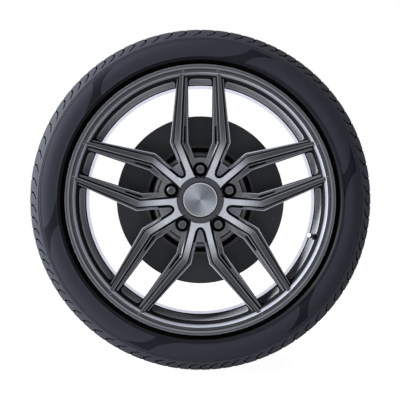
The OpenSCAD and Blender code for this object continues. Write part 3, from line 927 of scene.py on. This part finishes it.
    def _place(self, vert: bmesh.types.BMVert, column: int) -> None:
        """Turns a vertex about the axle to where its column runs at that ring."""
        radius = math.hypot(vert.co.x, vert.co.z)
        out = -vert.co.y
        outboard = out >= 0
        shift = 0.0 if outboard else 0.5
        pitch, part = divmod(column, self.columns)
        width, swing, _ = self._slot_form(radius, abs(out))
        fade = 1.0 if radius > 0.338 else max(0.0, (radius - 0.325) / 0.013)
        start = self._slot_turn(pitch) + fade * (swing if outboard else -swing)
        end = self._slot_turn(pitch + 1) + fade * (swing if outboard else -swing)
        gap = width / radius
        if part == 0:
            turn = start - gap / 2
        else:
            turn = start + gap / 2 + (end - start - gap) * (part - 1) / (self.columns - 1)
        turn += shift * 2 * math.pi / self.pitches * min(1.0, abs(out) / 0.05) * fade
        vert.co.x = radius * math.sin(turn)
        vert.co.z = radius * math.cos(turn)

    def _sink(
        self, mesh: bmesh.types.BMesh, places: dict[bmesh.types.BMVert, tuple[int, int]]
    ) -> None:
        """Sinks the faces of every slot below the tread and the shoulder.

        Args:
            mesh: The tyre.
            places: The column and ring of each vertex.
        """
        faces = []
        for face in mesh.faces:
            columns = {places[v][0] % self.columns for v in face.verts}
            middle = face.calc_center_median()
            radius, out = math.hypot(middle.x, middle.z), abs(middle.y)
            if columns == {0, 1} and out > self.slot_inner and radius > self.hook_end - 0.0002:
                faces.append(face)
        lifted = bmesh.ops.extrude_face_region(mesh, geom=faces)["geom"]
        for vert in (g for g in lifted if isinstance(g, bmesh.types.BMVert)):
            radius, out = math.hypot(vert.co.x, vert.co.z), abs(vert.co.y)
            depth = self._slot_form(radius, out)[2]
            inwards = Vector((-vert.co.x, 0.0, -vert.co.z)).normalized()
            lean = min(1.0, max(0.0, (out - 0.112) / 0.02)) * 0.7
            side = Vector((0.0, math.copysign(lean, -vert.co.y), 0.0))
            vert.co += (inwards * (1 - lean * 0.5) + side).normalized() * depth
            # The slots' floors and sides take the second rubber, painted near black as their shade.
            for face in vert.link_faces:
                face.material_index = 1
        bmesh.ops.delete(mesh, geom=[f for f in faces if f.is_valid], context="FACES_ONLY")


class WheelZone(Enum):
    """Where a face of the alloy wheel lies, which decides its finish."""

    PAINT = 0
    FACE = 1
    LIP = 2
    BAND = 3
    POCKET = 4
    BARREL = 5
    SEAM = 6
    FAR_BARREL = 7
    RING = 8
    WALL = 9
    BACK = 10


@dataclass
class AlloyWheel:
    """The cast wheel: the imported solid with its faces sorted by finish."""

    face_out: float = 0.102
    rise: float = 29.45 / 159.0
    lip_inner: float = 0.2688
    band_inner: float = 0.2616
    rim_inner: float = 0.262
    barrel_inner: float = 0.240
    lip_back: float = 0.120
    ring_outer: float = 0.0502
    level_slack: float = 0.0012

    def build(
        self, node: bpy.types.Object, finishes: dict[WheelZone, bpy.types.Material]
    ) -> bpy.types.Object:
        """Makes the wheel in place of its node.

        Args:
            node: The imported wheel.
            finishes: The material of each zone.

        Returns:
            The wheel's object.
        """
        mesh = bmesh.new()
        mesh.from_mesh(node.data)
        bmesh.ops.remove_doubles(mesh, verts=mesh.verts, dist=0.00002)
        mesh.normal_update()
        for face in mesh.faces:
            face.material_index = self._zone(face).value
        ordered = [finishes[zone] for zone in WheelZone]
        return piece_from(mesh, "alloy_wheel_dressed", ordered, 8.0, WHEEL_BODY, "alloy_wheel")

    def _zone(self, face: bmesh.types.BMFace) -> WheelZone:
        """Returns the zone that a face belongs to."""
        middle = face.calc_center_median()
        radius, out = math.hypot(middle.x, middle.z), -middle.y
        facing = -face.normal.y
        inwards = -(face.normal.x * middle.x + face.normal.z * middle.z) / max(radius, 1e-6)
        if facing < -0.5:
            return WheelZone.BACK
        if facing > 0.9 and self._on_rib(middle, radius, out):
            return WheelZone.FACE
        if radius > self.lip_inner and out > self.lip_back:
            return WheelZone.LIP
        if radius > self.band_inner and out > self.lip_back and inwards > 0.3:
            return WheelZone.BAND
        if radius > self.barrel_inner and inwards > 0.8:
            return self._barrel_zone(out)
        if radius > self.rim_inner:
            return WheelZone.BACK if out < self.lip_back else WheelZone.LIP
        return self._arm_zone(middle, radius, out, facing)

    @staticmethod
    def _from_pair(place: Vector) -> float:
        """Returns the angle about the axle to the nearest pair's middle."""
        turn = math.atan2(place.x, place.z) % PAIR_TURN
        return min(turn, PAIR_TURN - turn)

    def _on_rib(self, middle: Vector, radius: float, out: float) -> bool:
        """Returns whether a place lies on an arm's machined top beyond the knee."""
        turn = self._from_pair(middle)
        plan, across = ArmPlan(), radius * math.sin(turn)
        past = radius * math.cos(turn) - plan.knee
        low = plan.top_in[0] + plan.top_in[1] * past - 0.0005
        high = plan.top_out[0] + plan.top_out[1] * past + 0.0005
        above = out - self.face_out - past * self.rise
        return past > 0 and low < across < high and abs(above) < self.level_slack

    @staticmethod
    def _barrel_zone(out: float) -> WheelZone:
        """Returns the zone of a face on the inside of the barrel."""
        for limit, zone in ((0.099, WheelZone.POCKET), (0.057, WheelZone.BARREL),
                            (0.037, WheelZone.SEAM)):
            if out > limit - 0.0003:
                return zone
        return WheelZone.FAR_BARREL

    def _arm_zone(self, middle: Vector, radius: float, out: float, facing: float) -> WheelZone:
        """Sorts a face of the arms or the centre.

        Args:
            middle: The face's middle.
            radius: Its distance from the axle.
            out: Its distance outboard of the wheel's middle.
            facing: How far it faces outboard, 1 being straight out.

        Returns:
            The zone.
        """
        turn = self._from_pair(middle)
        rise = max(0.0, radius * math.cos(turn) - ArmPlan().knee) * self.rise
        level = self.face_out + rise
        if radius < self.ring_outer and out > 0.094:
            return WheelZone.RING
        # Steep faces take the near-black wall paint, their painted shade.
        if facing < 0.6:
            return WheelZone.WALL
        if abs(out - level) < self.level_slack:
            return WheelZone.FACE
        lowest = 0.0845 if radius < 0.094 else level - 0.0115
        return WheelZone.PAINT if out > lowest else WheelZone.WALL


@dataclass
class Studio:
    """Camera, lamps, white surroundings and the pale floor."""

    camera_back: float = 2.38305
    lens: float = 96.6
    shift_right: float = -0.00063
    shift_up: float = -0.00042
    floor_height: float = -0.3634

    def build(self) -> None:
        """Sets up the camera, the lamps, the world and the floor."""
        self._camera()
        self._world()
        self._lamp("key", (-3.5, -0.75, 1.4), 1.5, 620.0)
        self._lamp("fill", (2.4, -2.6, 0.4), 2.2, 3.0)
        self._lamp("top", (1.4, -0.5, 2.6), 1.6, 55.0)
        self._floor()

    def _camera(self) -> None:
        """Places the camera on the wheel's axis."""
        data = bpy.data.cameras.new("camera")
        data.lens = self.lens
        data.sensor_width = 36.0
        data.clip_end = 50.0
        camera = bpy.data.objects.new("camera", data)
        camera.location = (self.shift_right, -self.camera_back, self.shift_up)
        camera.rotation_euler = (math.radians(90), 0.0, 0.0)
        bpy.context.scene.collection.objects.link(camera)
        bpy.context.scene.camera = camera

    def _lamp(
        self, name: str, place: tuple[float, float, float], size: float, power: float
    ) -> None:
        """Adds one soft square lamp that looks at the wheel.

        Args:
            name: The lamp's name.
            place: Where it stands.
            size: Its side.
            power: Its power in watts.
        """
        data = bpy.data.lights.new(name, "AREA")
        data.size = size
        data.energy = power
        lamp = bpy.data.objects.new(name, data)
        lamp.location = place
        lamp.rotation_euler = (-Vector(place)).to_track_quat("-Z", "Y").to_euler()
        bpy.context.scene.collection.objects.link(lamp)

    def _world(self) -> None:
        """Makes surroundings that look white but light the wheel softly."""
        world = bpy.data.worlds.new("surroundings")
        world.use_nodes = True
        bpy.context.scene.world = world
        tree = world.node_tree
        tree.nodes.clear()
        path = tree.nodes.new("ShaderNodeLightPath")
        seen = tree.nodes.new("ShaderNodeMath")
        seen.operation = "MAXIMUM"
        tree.links.new(path.outputs["Is Camera Ray"], seen.inputs[0])
        either = tree.nodes.new("ShaderNodeMath")
        either.operation = "MAXIMUM"
        tree.links.new(path.outputs["Is Glossy Ray"], either.inputs[0])
        tree.links.new(path.outputs["Is Transmission Ray"], either.inputs[1])
        tree.links.new(either.outputs[0], seen.inputs[1])
        soft = tree.nodes.new("ShaderNodeBackground")
        soft.inputs["Color"].default_value = (0.92, 0.95, 1.0, 1.0)
        soft.inputs["Strength"].default_value = 0.085
        white = tree.nodes.new("ShaderNodeBackground")
        white.inputs["Color"].default_value = (1.0, 1.0, 1.0, 1.0)
        white.inputs["Strength"].default_value = 1.0
        mix = tree.nodes.new("ShaderNodeMixShader")
        tree.links.new(seen.outputs[0], mix.inputs[0])
        tree.links.new(soft.outputs[0], mix.inputs[1])
        tree.links.new(white.outputs[0], mix.inputs[2])
        output = tree.nodes.new("ShaderNodeOutputWorld")
        tree.links.new(mix.outputs[0], output.inputs["Surface"])

    def _floor(self) -> None:
        """Lays the pale floor that the tyre stands on."""
        mesh = bmesh.new()
        bmesh.ops.create_circle(mesh, cap_ends=True, radius=9.0, segments=64)
        bmesh.ops.translate(mesh, verts=mesh.verts, vec=(0.0, 0.0, self.floor_height))
        data = bpy.data.meshes.new("floor")
        mesh.to_mesh(data)
        mesh.free()
        shader = Shader("floor_paper")
        diffuse = shader.node("ShaderNodeBsdfDiffuse", {}, {"Color": grey(0.85)})
        glow = shader.node("ShaderNodeEmission", {}, {"Color": grey(1.0), "Strength": 1.22})
        path = shader.node("ShaderNodeLightPath", {}, {})
        mirrored = shader.node(
            "ShaderNodeMath", {"operation": "MAXIMUM"},
            {0: path.outputs["Is Glossy Ray"], 1: path.outputs["Is Transmission Ray"]},
        )
        seen = shader.node(
            "ShaderNodeMath", {"operation": "MAXIMUM"},
            {0: path.outputs["Is Camera Ray"], 1: mirrored.outputs[0]},
        )
        share = shader.node(
            "ShaderNodeMath", {"operation": "MULTIPLY"}, {0: seen.outputs[0], 1: 0.8}
        )
        mix = shader.node(
            "ShaderNodeMixShader", {},
            {0: share.outputs[0], 1: diffuse.outputs[0], 2: glow.outputs[0]},
        )
        shader.node("ShaderNodeOutputMaterial", {}, {"Surface": mix.outputs[0]})
        data.materials.append(shader.material)
        floor = bpy.data.objects.new("floor", data)
        bpy.context.scene.collection.objects.link(floor)


def finishes() -> dict[str, bpy.types.Material]:
    """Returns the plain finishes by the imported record's slot."""
    return {
        "cap_metal": BrushedPlate().material(),
        "disc_iron": DiscIron().material(),
        "cap_shell": MetalPaint("cap_shell", grey(0.55, 1.04), 0.25, 0.9).material(),
        "spring_steel": PlainFinish("spring_steel", grey(0.45), 1.0, 0.3).material(),
        "bolt_steel": BoltSteel().material(),
        "dark_steel": PlainFinish("dark_steel", grey(0.012), 0.3, 0.45).material(),
        "valve_metal": PlainFinish("valve_metal", grey(0.20), 0.9, 0.45).material(),
        "black_rubber": PlainFinish("black_rubber", grey(0.014), 0.0, 0.6).material(),
        "brass": PlainFinish("brass", (0.6, 0.42, 0.16, 1.0), 1.0, 0.32).material(),
        "sensor_plastic": PlainFinish("sensor_plastic", grey(0.02), 0.0, 0.5).material(),
        "hub_steel": PlainFinish("hub_steel", grey(0.14), 0.85, 0.42).material(),
        "bearing_steel": PlainFinish("bearing_steel", grey(0.5), 1.0, 0.18).material(),
        "cage_plastic": PlainFinish("cage_plastic", (0.42, 0.33, 0.18, 1.0), 0.0, 0.5).material(),
    }


def wheel_finishes() -> dict[WheelZone, bpy.types.Material]:
    """Returns the finish of each zone of the alloy wheel."""
    black = grey(0.009, 1.20)
    return {
        WheelZone.PAINT: ArmPaint().material(),
        # The arms' tops carry a painted reflection, pale near the hub and dark beyond the knee, and
        # painted highlights on their edges.
        WheelZone.FACE: TurnedAlloy(
            "turned_face",
            ((0.045, 0.46), (0.085, 0.52), (0.112, 0.33), (0.135, 0.10), (0.16, 0.06), (0.20, 0.05),
             (0.27, 0.055)),
            blue=1.18, edges=0.20,
        ).material(),
        WheelZone.LIP: TurnedAlloy(
            "turned_lip",
            ((0.2680, 0.13), (0.2695, 0.05), (0.2712, 0.07), (0.2730, 0.04), (0.2745, 0.04),
             (0.2760, 0.15), (0.2772, 0.17), (0.2788, 0.13), (0.2806, 0.05), (0.2820, 0.05),
             (0.2834, 0.20), (0.2848, 0.60), (0.2855, 0.60)),
            rough=0.36, blue=1.20, metal=0.85,
        ).material(),
        # The band's innermost millimetre is painted near black, the shade where it meets the
        # pocket.
        WheelZone.BAND: TurnedAlloy(
            "bright_band",
            ((0.2600, 0.01), (0.2624, 0.02), (0.2636, 0.23), (0.2665, 0.34), (0.2680, 0.40),
             (0.2695, 0.10)),
            rough=0.85, blue=1.20, metal=1.0,
        ).material(),
        # The pocket wall is painted black throughout, as its shade.
        WheelZone.POCKET: PocketPaint(
            "pocket_paint", black, black, 0.0012, 0.1234, 0.26
        ).material(),
        # The barrel's belt: painted shade beside the arms, then a painted highlight line.
        WheelZone.BARREL: PocketPaint(
            "barrel_paint", grey(0.17, 1.15), black, 0.0036, 0.113, 0.30, grey(0.26, 1.15), 0.045
        ).material(),
        # The narrow neck of the well is painted black as its shade.
        WheelZone.SEAM: PlainFinish("well_shade_paint", black, 0.0, 0.6, shine=0.0).material(),
        WheelZone.FAR_BARREL: MetalPaint(
            "bare_barrel", (0.63, 0.65, 0.84, 1.0), 0.35, 0.9, 0.0
        ).material(),
        WheelZone.RING: TurnedAlloy(
            "turned_ring", ((0.035, 0.03), (0.0388, 0.05), (0.0395, 0.064), (0.0505, 0.058)),
            line_pitch=0.0019, blue=1.22,
        ).material(),
        # The arms' steep and deep faces are painted near black as their shade.
        WheelZone.WALL: PlainFinish("arm_wall_shade", grey(0.010, 1.05), 0.0, 0.5, shine=0.0).material(),
        WheelZone.BACK: MetalPaint("gunmetal_paint", grey(0.085, 1.05)).material(),
    }


def main() -> None:
    """Builds the dressed wheel and its studio, in order."""
    logging.basicConfig(level=logging.INFO, format="%(message)s")
    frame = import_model()
    nodes = frame["nodes"]
    plain = finishes()
    for entry in frame["record"]["subparts"]:
        if entry["material_slot"] in plain:
            dress(nodes[entry["node"]], plain[entry["material_slot"]])
    # The rubber inside the slots is painted near black as their shade.
    slots = PlainFinish("slot_shade_rubber", (0.0014, 0.0015, 0.0024, 1.0), 0.0, 0.6, shine=0.0)
    tyre = Tyre().build([TyreRubber().material(), slots.material()])
    wheel = AlloyWheel().build(nodes["alloy_wheel"], wheel_finishes())
    Studio().build()
    bpy.context.scene.view_settings.view_transform = "Standard"


if __name__ == "__main__":
    main()
